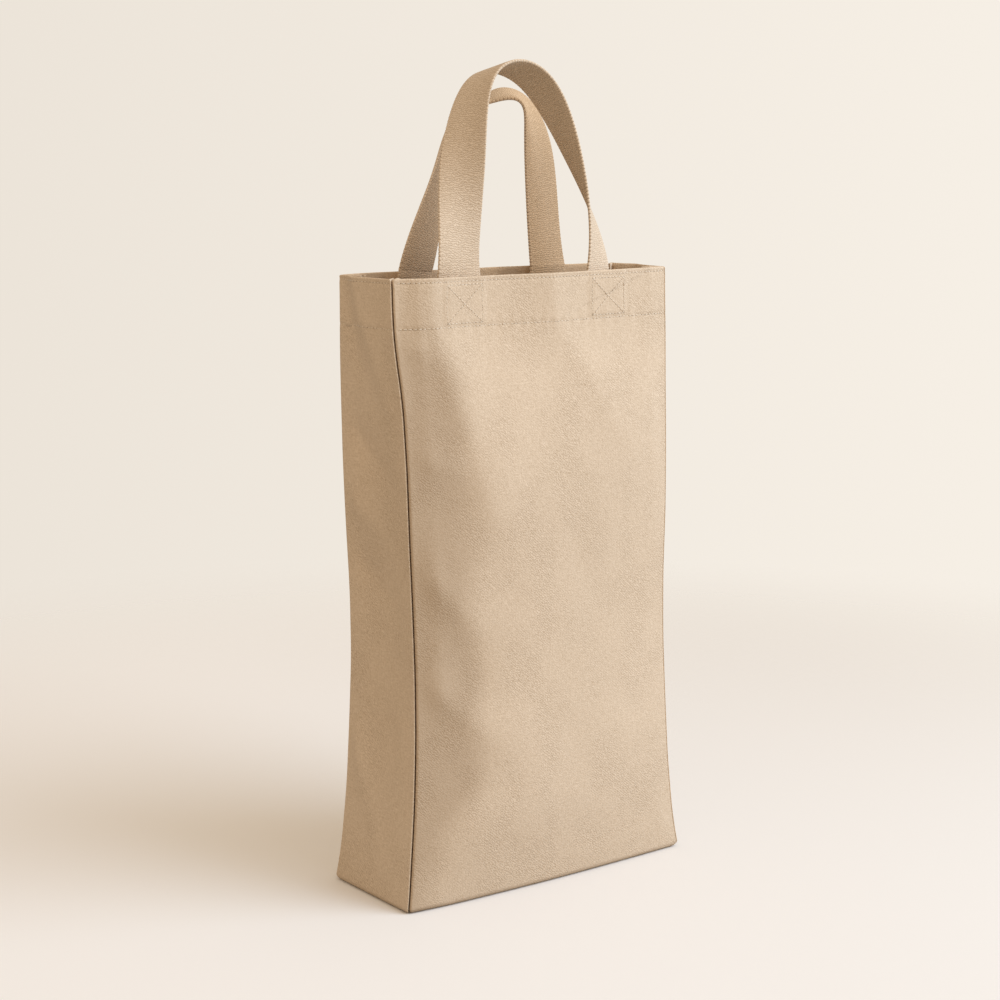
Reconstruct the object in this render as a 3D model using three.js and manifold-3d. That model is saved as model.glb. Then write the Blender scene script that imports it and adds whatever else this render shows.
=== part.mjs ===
// Tall canvas shopper: a sewn sack with side gussets, a folded hem and two webbing handles.
// Millimetres, +Z up. The origin is the middle of the base, on the surface the bag stands on.
// The front panel faces -Y and the gussets face -X and +X.
import * as THREE from "three";
import { mergeVertices } from "three/addons/utils/BufferGeometryUtils.js";
import ManifoldModule from "manifold-3d";

const manifold = await ManifoldModule();
manifold.setup();

// Sack, measured over its outer faces at the foot, at the slack waist and at the mouth
const HEIGHT = 370;
const BASE_WIDTH = 206;
const WAIST_WIDTH = 189;
const MOUTH_WIDTH = 202;
const BASE_DEPTH = 80;
const WAIST_DEPTH = 66;
const MOUTH_DEPTH = 53;
const WIDTH_FLARE_HEIGHT = 150;
const DEPTH_FLARE_HEIGHT = 180;
const WIDTH_SPREAD_RUN = 160;
const SHOULDER_RUN = 60;
const PANEL_BOW = 3;
const GUSSET_TUCK = 5;

// Canvas and seams
const CANVAS_THICKNESS = 1;
const SEAM_GAP = 0.3;
const SEAM_ALLOWANCE = 9;
const HEM_HEIGHT = 30;
const HEM_SLIT = 0.3;
const BASE_FLANGE_HEIGHT = 10;
const FLANGE_CLEARANCE = 2;

// Webbing handles. A station of a handle gives its share of the way between the feet, its lean towards the other
// handle and its height, both as shares of the rise, and the turn of the webbing in degrees. The webbing draws in
// from its sewn feet to the arch, over a share of its length.
const WEBBING_WIDTH = 30;
const ARCH_WIDTH = 26;
const DRAW_IN_SHARE = 0.22;
const WEBBING_THICKNESS = 2;
const WEBBING_BEVEL = 0.5;
const TAB_LIFT = 3;
const LAYER_GAP = 0.3;
const FRONT_HANDLE = {
  leftFoot: -54.5,
  rightFoot: 52,
  rise: 120,
  faces: -1,
  stations: [
    [0, 0, 0, 0],
    [0, 0.02, 0.11, -9],
    [0.04, 0.06, 0.34, 14],
    [0.12, 0.12, 0.69, 65],
    [0.29, 0.21, 1.02, 98],
    [0.7, 0.23, 1, 115],
    [0.9, 0.16, 0.61, 81],
    [1, 0.06, 0.18, 40],
    [1, 0, 0, 0],
  ],
};
const BACK_HANDLE = {
  leftFoot: -53,
  rightFoot: 46,
  rise: 105,
  faces: 1,
  stations: [
    [0, 0, 0, 0],
    [0.02, 0.08, 0.16, -17],
    [0.18, 0, 0.49, -31],
    [0.32, -0.14, 0.83, -34],
    [0.53, -0.03, 0.95, -81],
    [0.72, 0.09, 1.05, -115],
    [0.91, 0.04, 0.69, -185],
    [1, -0.03, 0.21, -164],
    [1, 0, 0, -180],
  ],
};

// Sewing thread
const THREAD_WIDTH = 0.8;
const THREAD_THICKNESS = 0.5;
const TOP_ROW_DROP = 2.5;
const LOWER_ROW_LIFT = 1.5;
const BOX_EDGE_MARGIN = 2;
const BOX_ROW_GAP = 1;
const BOX_CROSS_WIDTH = 1.2;
const SEAM_THREAD_INSET = 5;

// How finely the curved pieces are divided
const WALL_STEPS = 10;
const PANEL_STATIONS = 7;
const GUSSET_STATIONS = 3;
const FOLD_STEPS = 4;
const STRAP_STEPS = 64;
const MERGE_DISTANCE = 1e-4;

const hemLine = HEIGHT - HEM_HEIGHT;
const hemThickness = 2 * CANVAS_THICKNESS + HEM_SLIT;
const foldRadius = hemThickness / 2;
const foldLine = HEIGHT - foldRadius;
const tabInset = hemThickness + LAYER_GAP;
const seamShift = SEAM_GAP / Math.SQRT2;

const canvasLook = { color: 0xc8b08c, roughness: 0.92, metalness: 0 };
const gussetLook = { color: 0xbda480, roughness: 0.92, metalness: 0 };
const webbingLook = { color: 0xc0aa87, roughness: 0.88, metalness: 0 };
const threadLook = { color: 0xe2d3b8, roughness: 0.75, metalness: 0 };

const { clamp, degToRad, lerp, smoothstep } = THREE.MathUtils;

// The sack flares at its foot, is slack at its waist and is drawn flatter below the hem.
function flare(z, height) {
  return Math.max(0, 1 - z / height) ** 2;
}

function widthAt(z) {
  const spread = smoothstep(z, hemLine - WIDTH_SPREAD_RUN, hemLine);
  const foot = flare(z, WIDTH_FLARE_HEIGHT);
  return WAIST_WIDTH + (BASE_WIDTH - WAIST_WIDTH) * foot + (MOUTH_WIDTH - WAIST_WIDTH) * spread;
}

function depthAt(z) {
  const draw = smoothstep(z, hemLine - SHOULDER_RUN, hemLine);
  const foot = flare(z, DEPTH_FLARE_HEIGHT);
  return WAIST_DEPTH + (BASE_DEPTH - WAIST_DEPTH) * foot + (MOUTH_DEPTH - WAIST_DEPTH) * draw;
}

// The wide panels bow outwards a little. The gussets tuck inwards at mid height and are straight at both ends.
const panelBow = () => PANEL_BOW;
const gussetBow = (z) => -GUSSET_TUCK * Math.sin((Math.PI * Math.min(z, HEIGHT)) / HEIGHT);

// Each wall is drawn in its own frame, along it and outwards, and turned into place about Z.
const WALLS = {
  front: { turn: 0, length: widthAt, reach: depthAt, bow: panelBow, stations: PANEL_STATIONS },
  right: { turn: Math.PI / 2, length: depthAt, reach: widthAt, bow: gussetBow, stations: GUSSET_STATIONS },
  back: { turn: Math.PI, length: widthAt, reach: depthAt, bow: panelBow, stations: PANEL_STATIONS },
  left: { turn: -Math.PI / 2, length: depthAt, reach: widthAt, bow: gussetBow, stations: GUSSET_STATIONS },
};

function turned(wall, along, out, z) {
  const cos = Math.cos(wall.turn);
  const sin = Math.sin(wall.turn);
  return new THREE.Vector3(along * cos + out * sin, along * sin - out * cos, z);
}

// Distance of a wall's outer face from the middle of the bag, at a place along the wall.
function wallReach(wall, along, z) {
  const length = wall.length(z);
  return wall.reach(z) / 2 + wall.bow(z) * Math.cos((Math.PI * along) / length);
}

// Outer line of a wall at one height, between its two corners.
function wallLine(wall, z, shift) {
  const half = wall.length(z) / 2 - shift;
  const line = [];
  for (let i = 0; i <= wall.stations + 1; i += 1) {
    const along = half * ((2 * i) / (wall.stations + 1) - 1);
    line.push(new THREE.Vector2(along, wallReach(wall, along, z)));
  }
  return line;
}

// The same line with the seam allowance turned diagonally inwards at each end.
function panelLine(wall, z) {
  const line = wallLine(wall, z, seamShift);
  const step = SEAM_ALLOWANCE / Math.SQRT2;
  const first = line[0];
  const last = line[line.length - 1];
  return [
    new THREE.Vector2(first.x + step, first.y - step),
    ...line,
    new THREE.Vector2(last.x - step, last.y - step),
  ];
}

// Inward mitre directions of a line, so that an offset keeps its thickness round a corner.
function mitres(line, closed) {
  const count = line.length;
  const normals = [];
  for (let i = 0; i < count; i += 1) {
    const step = line[(i + 1) % count].clone().sub(line[i]).normalize();
    normals.push(new THREE.Vector2(step.y, -step.x));
  }
  return line.map((_, i) => {
    const before = normals[closed || i > 0 ? (i + count - 1) % count : 0];
    const after = normals[closed || i < count - 1 ? i : count - 2];
    return before.clone().add(after).divideScalar(1 + before.dot(after));
  });
}

// Points of a panel at one station, one for each point of its profile of inset and height.
function panelRing(wall, station, profile) {
  return profile.map(({ x: inset, y: z }) => {
    const line = panelLine(wall, z);
    const place = line[station].clone().addScaledVector(mitres(line, false)[station], inset);
    return turned(wall, place.x, place.y, z);
  });
}

// Cap faces of a ring, as point numbers in ring order: a fan for a convex ring, a strip for a ring that goes
// up one side of a thin layer and down the other, and a filled outline for a flat one.
const fanCap = (size) => Array.from({ length: size - 2 }, (_, k) => [0, k + 1, k + 2]);

function stripCap(size) {
  const last = size - 1;
  const faces = [];
  for (let k = 0; k < size / 2 - 1; k += 1) faces.push([k, k + 1, last - k - 1], [k, last - k - 1, last - k]);
  return faces;
}

function outlineCap(ring) {
  const outline = ring.map((point) => new THREE.Vector2(point.x, point.y));
  const faces = THREE.ShapeUtils.triangulateShape(outline, []);
  return THREE.ShapeUtils.isClockWise(outline) ? faces.map(([a, b, c]) => [c, b, a]) : faces;
}

// A closed surface through rings of equal point counts. With cap faces its two ends are closed by them,
// and without any the last ring joins the first.
function sweep(rings, capFaces) {
  const size = rings[0].length;
  const positions = rings.flat().flatMap((point) => [point.x, point.y, point.z]);
  const faces = [];
  const spans = capFaces ? rings.length - 1 : rings.length;
  for (let i = 0; i < spans; i += 1) {
    const here = i * size;
    const next = ((i + 1) % rings.length) * size;
    for (let k = 0; k < size; k += 1) {
      const after = (k + 1) % size;
      faces.push([here + k, next + k, next + after], [here + k, next + after, here + after]);
    }
  }
  const end = (rings.length - 1) * size;
  for (const [a, b, c] of capFaces ?? []) faces.push([a, b, c], [end + c, end + b, end + a]);
  return facingOut(positions, faces);
}

// Builds the mesh with its faces turned outwards, by the sign of the volume they enclose.
function facingOut(positions, faces) {
  const corner = (i) => new THREE.Vector3().fromArray(positions, 3 * i);
  let volume = 0;
  for (const [a, b, c] of faces) volume += corner(a).dot(corner(b).cross(corner(c)));
  const geometry = new THREE.BufferGeometry();
  geometry.setAttribute("position", new THREE.Float32BufferAttribute(positions, 3));
  geometry.setIndex(faces.flatMap(([a, b, c]) => (volume < 0 ? [a, c, b] : [a, b, c])));
  return geometry;
}

function toSolid(geometry) {
  const bare = geometry.clone();
  bare.deleteAttribute("normal");
  bare.deleteAttribute("uv");
  const merged = mergeVertices(bare, MERGE_DISTANCE);
  return new manifold.Manifold(new manifold.Mesh({
    numProp: 3,
    vertProperties: Float32Array.from(merged.attributes.position.array),
    triVerts: Uint32Array.from(merged.index.array),
  }));
}

function cut(geometry, tool) {
  const mesh = toSolid(geometry).subtract(toSolid(tool)).getMesh();
  const result = new THREE.BufferGeometry();
  result.setAttribute("position", new THREE.Float32BufferAttribute(mesh.vertProperties, 3));
  result.setIndex(Array.from(mesh.triVerts));
  return result;
}

const bag = new THREE.Group();

function addPiece(name, geometry, look) {
  const flat = geometry.index ? geometry.toNonIndexed() : geometry;
  flat.computeVertexNormals();
  const mesh = new THREE.Mesh(flat, new THREE.MeshStandardMaterial(look));
  mesh.name = name;
  bag.add(mesh);
}

// Outline of the whole sack at one height, inset from its outer faces.
function sackOutline(inset, z) {
  const line = [];
  for (const wall of [WALLS.front, WALLS.right, WALLS.back, WALLS.left]) {
    for (const point of wallLine(wall, z, 0).slice(0, -1)) {
      const { x, y } = turned(wall, point.x, point.y, z);
      line.push(new THREE.Vector2(x, y));
    }
  }
  // The outline runs anticlockwise seen from above, so a mitre points outwards.
  return mitres(line, true).map((mitre, i) => {
    const place = line[i].clone().addScaledVector(mitre, -inset);
    return new THREE.Vector3(place.x, place.y, z);
  });
}

// Profile of a panel as inset and height: its outer side runs up the wall, over the fold and down to the edge
// of the turned-in hem, and its inner side comes back one canvas thickness inside that.
function profileSide(inset, radius) {
  const side = [];
  for (let i = 0; i <= WALL_STEPS; i += 1) side.push(new THREE.Vector2(inset, (hemLine * i) / WALL_STEPS));
  for (let i = 0; i <= FOLD_STEPS; i += 1) {
    const angle = (Math.PI * i) / FOLD_STEPS;
    const place = new THREE.Vector2(foldRadius - radius * Math.cos(angle), foldLine + radius * Math.sin(angle));
    side.push(place);
  }
  side.push(new THREE.Vector2(foldRadius + radius, hemLine));
  return side;
}

const panelProfile = [
  ...profileSide(0, foldRadius),
  ...profileSide(CANVAS_THICKNESS, HEM_SLIT / 2).reverse(),
];

// Room for the base's upturned flange, which the vertical seam allowances stop short of.
const flangeRoom = [
  sackOutline(CANVAS_THICKNESS + SEAM_GAP / 2, 0).map((point) => point.setZ(-CANVAS_THICKNESS)),
  sackOutline(CANVAS_THICKNESS + SEAM_GAP / 2, BASE_FLANGE_HEIGHT + FLANGE_CLEARANCE),
];
const flangeCut = sweep(flangeRoom, outlineCap(flangeRoom[0]));

// Front, back and side panels
function addPanel(name, wall, look) {
  const rings = panelLine(wall, 0).map((_, station) => panelRing(wall, station, panelProfile));
  addPiece(name, cut(sweep(rings, stripCap(panelProfile.length)), flangeCut), look);
}

addPanel("front_panel", WALLS.front, canvasLook);
addPanel("back_panel", WALLS.back, canvasLook);
addPanel("left_gusset", WALLS.left, gussetLook);
addPanel("right_gusset", WALLS.right, gussetLook);

// Base: a flat sheet with its allowance turned up inside the walls
const flangeInset = CANVAS_THICKNESS + SEAM_GAP;
const baseRings = [
  sackOutline(flangeInset, 0),
  sackOutline(flangeInset, BASE_FLANGE_HEIGHT),
  sackOutline(flangeInset + CANVAS_THICKNESS, BASE_FLANGE_HEIGHT),
  sackOutline(flangeInset + CANVAS_THICKNESS, CANVAS_THICKNESS),
];
addPiece("base_panel", sweep(baseRings, outlineCap(baseRings[0])), canvasLook);

// Rows of thread that run right round the sack
function addThreadRing(name, inset, z) {
  const low = z - THREAD_WIDTH / 2;
  const high = z + THREAD_WIDTH / 2;
  const outlines = [
    sackOutline(inset, low),
    sackOutline(inset, high),
    sackOutline(inset + THREAD_THICKNESS, high),
    sackOutline(inset + THREAD_THICKNESS, low),
  ];
  const rings = outlines[0].map((_, i) => outlines.map((outline) => outline[i]));
  addPiece(name, sweep(rings, null), threadLook);
}

const outsideThread = -(SEAM_GAP + THREAD_THICKNESS);
const topRow = HEIGHT - TOP_ROW_DROP;
const lowerRow = hemLine + LOWER_ROW_LIFT;
addThreadRing("hem_top_stitch", outsideThread, topRow);
addThreadRing("hem_lower_stitch", outsideThread, lowerRow);
addThreadRing("base_seam_stitch", flangeInset + CANVAS_THICKNESS + SEAM_GAP, BASE_FLANGE_HEIGHT / 2);

// Thread of the four vertical seams, on the gussets' turned-in allowances
function addSeamThread(name, wall, atStart) {
  const bottom = BASE_FLANGE_HEIGHT + FLANGE_CLEARANCE + LAYER_GAP;
  const top = hemLine - LAYER_GAP;
  const profile = [
    new THREE.Vector2(0, 0),
    new THREE.Vector2(THREAD_WIDTH, 0),
    new THREE.Vector2(THREAD_WIDTH, THREAD_THICKNESS),
    new THREE.Vector2(0, THREAD_THICKNESS),
  ];
  const rings = [];
  for (let i = 0; i <= WALL_STEPS; i += 1) {
    const z = bottom + ((top - bottom) * i) / WALL_STEPS;
    const line = panelLine(wall, z);
    const corner = atStart ? line[1] : line[line.length - 2];
    const tip = atStart ? line[0] : line[line.length - 1];
    const run = tip.clone().sub(corner).normalize();
    const lift = new THREE.Vector2(atStart ? -run.y : run.y, atStart ? run.x : -run.x);
    rings.push(profile.map((point) => {
      const place = corner.clone().addScaledVector(run, SEAM_THREAD_INSET + point.x);
      place.addScaledVector(lift, CANVAS_THICKNESS + LAYER_GAP + point.y);
      return turned(wall, place.x, place.y, z);
    }));
  }
  addPiece(name, sweep(rings, fanCap(profile.length)), threadLook);
}

addSeamThread("front_left_seam_stitch", WALLS.left, false);
addSeamThread("back_left_seam_stitch", WALLS.left, true);
addSeamThread("front_right_seam_stitch", WALLS.right, true);
addSeamThread("back_right_seam_stitch", WALLS.right, false);

// Sewn ends of a handle: a flat length of webbing behind the hem, and the box of thread that holds it
function wallPoint(wall, along, inset, z) {
  return turned(wall, along, wallReach(wall, along, z) - inset, z);
}

function addTab(name, wall, foot) {
  const profile = [
    new THREE.Vector2(tabInset, hemLine + TAB_LIFT),
    new THREE.Vector2(tabInset, HEIGHT - LAYER_GAP / 2),
    new THREE.Vector2(tabInset + WEBBING_THICKNESS, HEIGHT - LAYER_GAP / 2),
    new THREE.Vector2(tabInset + WEBBING_THICKNESS, hemLine + TAB_LIFT),
  ];
  const across = [-WEBBING_WIDTH / 2, 0, WEBBING_WIDTH / 2];
  const rings = across.map((side) => profile.map(({ x, y }) => wallPoint(wall, foot + side, x, y)));
  addPiece(name, sweep(rings, fanCap(profile.length)), webbingLook);
}

// The box is a rectangle with a cross in it: four triangles left open in a thin plate.
function addBoxStitch(name, wall, foot) {
  const half = WEBBING_WIDTH / 2 - BOX_EDGE_MARGIN;
  const low = lowerRow + THREAD_WIDTH / 2 + BOX_ROW_GAP;
  const high = topRow - THREAD_WIDTH / 2 - BOX_ROW_GAP;
  const plate = new THREE.Shape();
  plate.moveTo(-half, low);
  plate.lineTo(half, low);
  plate.lineTo(half, high);
  plate.lineTo(-half, high);
  const middle = (low + high) / 2;
  const diagonal = BOX_CROSS_WIDTH / 2;
  const sideX = half - THREAD_WIDTH;
  const sideZ = (high - low) / 2 - THREAD_WIDTH;
  const gapX = diagonal * Math.hypot(1, sideX / sideZ);
  const gapZ = diagonal * Math.hypot(1, sideZ / sideX);
  for (const sign of [-1, 1]) {
    plate.holes.push(new THREE.Path([
      new THREE.Vector2(0, middle + sign * gapZ),
      new THREE.Vector2(sideX - gapX, middle + sign * sideZ),
      new THREE.Vector2(gapX - sideX, middle + sign * sideZ),
    ]));
    plate.holes.push(new THREE.Path([
      new THREE.Vector2(sign * gapX, middle),
      new THREE.Vector2(sign * sideX, middle + sideZ - gapZ),
      new THREE.Vector2(sign * sideX, middle - sideZ + gapZ),
    ]));
  }
  const settings = { depth: THREAD_THICKNESS, bevelEnabled: false, steps: 1 };
  const geometry = new THREE.ExtrudeGeometry(plate, settings);
  const position = geometry.attributes.position;
  for (let i = 0; i < position.count; i += 1) {
    const inset = -SEAM_GAP - position.getZ(i);
    const place = wallPoint(wall, foot + position.getX(i), inset, position.getY(i));
    position.setXYZ(i, place.x, place.y, place.z);
  }
  addPiece(name, geometry, threadLook);
}

// A row of values part of the way along a smooth line through stations: a clamped cubic B-spline, which starts at
// the first station, ends at the last and is drawn towards those between.
function smoothRow(stations, share) {
  const spans = stations.length - 3;
  const knot = (i) => clamp(i - 3, 0, spans);
  const place = share * spans;
  const span = Math.min(Math.floor(place), spans - 1) + 3;
  let rows = stations.slice(span - 3, span + 1);
  for (let level = 1; level <= 3; level += 1) {
    const before = rows;
    rows = before.slice(1).map((row, i) => {
      const low = knot(span - 3 + level + i);
      const blend = (place - low) / (knot(span + 1 + i) - low);
      return row.map((value, k) => lerp(before[i][k], value, blend));
    });
  }
  return rows[0];
}

// Centre line of a handle with the webbing's turn and half width, from its left foot to its right one
function strapLine(handle) {
  const half = (handle.rightFoot - handle.leftFoot) / 2;
  const footDepth = wallReach(WALLS.front, half, HEIGHT) - tabInset - WEBBING_THICKNESS / 2;
  return Array.from({ length: STRAP_STEPS + 1 }, (_, i) => {
    const [across, lean, up, turn] = smoothRow(handle.stations, i / STRAP_STEPS);
    const x = lerp(handle.leftFoot, handle.rightFoot, across);
    const y = handle.faces * (footDepth - handle.rise * lean);
    const z = HEIGHT + LAYER_GAP / 2 + handle.rise * up;
    const drawn = smoothstep(Math.min(i, STRAP_STEPS - i) / STRAP_STEPS, 0, DRAW_IN_SHARE);
    const wide = lerp(WEBBING_WIDTH, ARCH_WIDTH, drawn) / 2;
    return { place: new THREE.Vector3(x, y, z), turn: degToRad(turn), wide };
  });
}

// The webbing lies flat on the panel at its feet and turns edge-on to it over the top of the arch.
function addHandleLoop(name, handle) {
  const line = strapLine(handle);
  const thick = WEBBING_THICKNESS / 2;
  const section = (wide) => [
    new THREE.Vector2(wide, thick - WEBBING_BEVEL),
    new THREE.Vector2(wide - WEBBING_BEVEL, thick),
    new THREE.Vector2(WEBBING_BEVEL - wide, thick),
    new THREE.Vector2(-wide, thick - WEBBING_BEVEL),
    new THREE.Vector2(-wide, WEBBING_BEVEL - thick),
    new THREE.Vector2(WEBBING_BEVEL - wide, -thick),
    new THREE.Vector2(wide - WEBBING_BEVEL, -thick),
    new THREE.Vector2(wide, WEBBING_BEVEL - thick),
  ];
  const up = new THREE.Vector3(0, 0, 1);
  const depth = new THREE.Vector3(0, 1, 0);
  const rings = line.map(({ place, turn, wide }, i) => {
    const tangent = new THREE.Vector3();
    if (i === 0) tangent.copy(up);
    else if (i === STRAP_STEPS) tangent.copy(up).negate();
    else tangent.copy(line[i + 1].place).sub(line[i - 1].place).normalize();
    const inward = new THREE.Vector3().crossVectors(depth, tangent).normalize();
    const near = new THREE.Vector3().crossVectors(inward, tangent);
    const side = inward.multiplyScalar(Math.cos(turn)).addScaledVector(near, Math.sin(turn));
    const face = new THREE.Vector3().crossVectors(tangent, side);
    return section(wide).map(({ x, y }) => place.clone().addScaledVector(side, x).addScaledVector(face, y));
  });
  addPiece(name, sweep(rings, fanCap(rings[0].length)), webbingLook);
}

// A foot's place along the back wall is mirrored, because that wall is drawn from the other side.
function addHandle(name, wall, handle) {
  addHandleLoop(`${name}_handle_loop`, handle);
  for (const [side, foot] of [["left", handle.leftFoot], ["right", handle.rightFoot]]) {
    const along = -handle.faces * foot;
    addTab(`${name}_handle_${side}_tab`, wall, along);
    addBoxStitch(`${name}_${side}_box_stitch`, wall, along);
  }
}

addHandle("front", WALLS.front, FRONT_HANDLE);
addHandle("back", WALLS.back, BACK_HANDLE);

export default bag;
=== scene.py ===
import bpy
import numpy as np
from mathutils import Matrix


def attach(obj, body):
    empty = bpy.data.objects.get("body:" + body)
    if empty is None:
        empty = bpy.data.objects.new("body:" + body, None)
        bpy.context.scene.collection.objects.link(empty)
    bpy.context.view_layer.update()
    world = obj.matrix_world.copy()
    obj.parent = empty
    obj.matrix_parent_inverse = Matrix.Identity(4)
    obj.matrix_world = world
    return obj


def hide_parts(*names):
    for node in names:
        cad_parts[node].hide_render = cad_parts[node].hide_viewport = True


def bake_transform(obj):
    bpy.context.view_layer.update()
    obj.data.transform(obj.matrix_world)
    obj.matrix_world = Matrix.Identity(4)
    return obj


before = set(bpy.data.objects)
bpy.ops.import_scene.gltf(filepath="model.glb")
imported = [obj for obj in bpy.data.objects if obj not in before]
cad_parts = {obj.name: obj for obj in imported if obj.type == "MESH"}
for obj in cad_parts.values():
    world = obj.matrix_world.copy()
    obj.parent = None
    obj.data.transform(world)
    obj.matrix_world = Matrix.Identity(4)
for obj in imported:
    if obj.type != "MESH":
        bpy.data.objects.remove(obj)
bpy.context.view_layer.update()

scene = bpy.context.scene
scene.view_settings.view_transform = "Standard"

# Wall panels
# Two wide panels and two side gussets of beige cotton twill, cut from one bolt. They are sewn together
# inside out along their upright edges, so each edge rolls into a groove with its allowance inside, and
# their top edges are turned to the inside as a deep hem.
mm = 0.001
HEIGHT = 370 * mm
PANEL_BOW = 2 * mm
GUSSET_TUCK = 5 * mm
HEM_DRIFT = -2.2 * mm
CLOTH = 0.7 * mm
HEM_HEIGHT = 30 * mm
HEM_FOLD_RADIUS = 0.85 * mm
SEAM_ALLOWANCE = 9 * mm
PANEL_ROLL_RADIUS = 0.9 * mm
GUSSET_ROLL_RADIUS = 0.4 * mm
SEAM_GAP = 0.5 * mm
FOOT_ROLL_RADIUS = 4 * mm
FOOT_SEAM_RADIUS = 0.9 * mm
FOOT_ALLOWANCE = 8 * mm
TOP_ROW_DROP = 2.5 * mm
LOWER_ROW_LIFT = 1.5 * mm
WEBBING_WIDTH = 30 * mm
FRONT_FEET = (-57.5 * mm, 49.5 * mm)
BACK_FEET = (-52.2 * mm, 47.8 * mm)
TAB_LIFT = 3 * mm
BOX_MARGIN = 2 * mm

HEM_LINE = HEIGHT - HEM_HEIGHT
HEM_THICKNESS = 2 * HEM_FOLD_RADIUS
FOLD_LINE = HEIGHT - HEM_FOLD_RADIUS
TOP_ROW = HEIGHT - TOP_ROW_DROP
LOWER_ROW = HEM_LINE + LOWER_ROW_LIFT
BOX_LOW = LOWER_ROW + 2 * mm
BOX_HIGH = TOP_ROW - 2 * mm


def smoothstep(value, low, high):
    """Rises from 0 at low to 1 at high along a cubic that is level at both ends."""
    share = np.clip((value - low) / (high - low), 0, 1)
    return share * share * (3 - 2 * share)


# Level cuts through the sack: height, width, depth and how far the slack cloth drifts to the right, in
# millimetres. The first and last cuts lie beyond the sack and carry its slopes on.
SACK_CUTS = np.array([
    (-30, 222, 83.0, 0.9), (0, 210.5, 80.5, 0.9), (20, 204.5, 76.0, 0.9), (60, 197, 73.5, 0.9),
    (100, 193, 72.0, 0.8), (140, 191, 69.0, 0.7), (180, 192, 67.5, 0.3), (220, 195, 68.0, -0.2),
    (260, 196, 68.5, -1.2), (300, 198, 65.5, -1.9), (330, 203, 58.5, -1.9), (345, 204, 56.0, -1.9),
    (370, 204, 55.0, -2.2), (400, 204, 55.0, -2.2)])
CUT_ROUNDING = 12 * mm


def sack_cut(z, column):
    """One size of the sack at a height: straight between the cuts, rounded by a mean over a short stretch."""
    nearby = np.linspace(-CUT_ROUNDING, CUT_ROUNDING, 9)
    heights, sizes = SACK_CUTS[:, 0] * mm, SACK_CUTS[:, column] * mm
    return np.mean([np.interp(z + step, heights, sizes) for step in nearby], axis=0)


def sack_width(z):
    """Width of the sack from seam to seam at a height."""
    return sack_cut(z, 1)


def sack_depth(z):
    """Depth of the sack from panel to panel at a height."""
    return sack_cut(z, 2)


def panel_bow(z):
    """The wide panels bow outwards by the same amount up to the shoulder, and run straight at the hem."""
    return PANEL_BOW * (1 - smoothstep(z, 250 * mm, HEM_LINE))


def gusset_bow(z):
    """The gussets tuck inwards as half a sine over the height, straight at the base and at the mouth."""
    return -GUSSET_TUCK * np.sin(np.pi * np.clip(z / HEIGHT, 0, 1))


# Each soft fold is a ridge, or a dent where its height is negative, on a bent line over the wall. It has the
# line's points as distance along the wall and height, its reach on the left and the right of the line as
# one walks along it, and its height at the start, all in millimetres.
FRONT_FOLDS = [
    ([(-76, 400), (-79, 346), (-54, 262), (-46, 236)], (25, 15), 6.2),
    ([(6, 400), (10, 342), (72, 250)], (46, 30), 8.4),
    ([(-93, 202), (-54, 162)], (16, 9), 4.0),
    ([(-93, 138), (-46, 96)], (16, 9), 4.2),
    ([(-92, 268), (-62, 256)], (12, 6), 2.2),
    ([(-95, 330), (-74, 322)], (8, 5), 2.0),
    ([(98, 16), (60, 60)], (14, 22), 1.4),
]
BACK_FOLDS = [
    ([(78, 352), (30, 230)], (17, 30), 4.2),
    ([(93, 190), (46, 140)], (9, 18), 3.2),
    ([(-14, 400), (-18, 350), (-60, 262)], (22, 26), 4.0),
    ([(-93, 124), (-50, 84)], (16, 9), 3.2),
    ([(30, 10), (10, 120)], (26, 30), 1.6),
]
LEFT_FOLDS = [
    ([(-10, 390), (-4, 350), (16, 296)], (8, 7), 5.4),
    ([(-26, 356), (-4, 306)], (10, 8), -5.0),
    ([(-27, 278), (12, 250)], (9, 12), -6.0),
    ([(-24, 236), (8, 214)], (10, 10), 3.0),
    ([(-26, 200), (14, 176)], (12, 14), -4.0),
    ([(-28, 92), (6, 22)], (7, 9), 3.0),
    ([(28, 104), (0, 50)], (8, 9), 2.0),
]
RIGHT_FOLDS = [
    ([(12, 390), (4, 350), (-14, 300)], (7, 8), 5.0),
    ([(27, 306), (-4, 272)], (10, 12), -5.0),
    ([(24, 204), (-16, 172)], (14, 12), -3.6),
    ([(28, 88), (-4, 28)], (9, 7), 2.6),
]
# How far the left seam's pull reaches across the front, as height and reach in millimetres
FRONT_PULL = [
    (0, 26), (20, 32), (64, 45), (122, 56), (166, 47), (195, 45), (239, 52), (268, 50), (297, 41), (330, 27),
]
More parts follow.
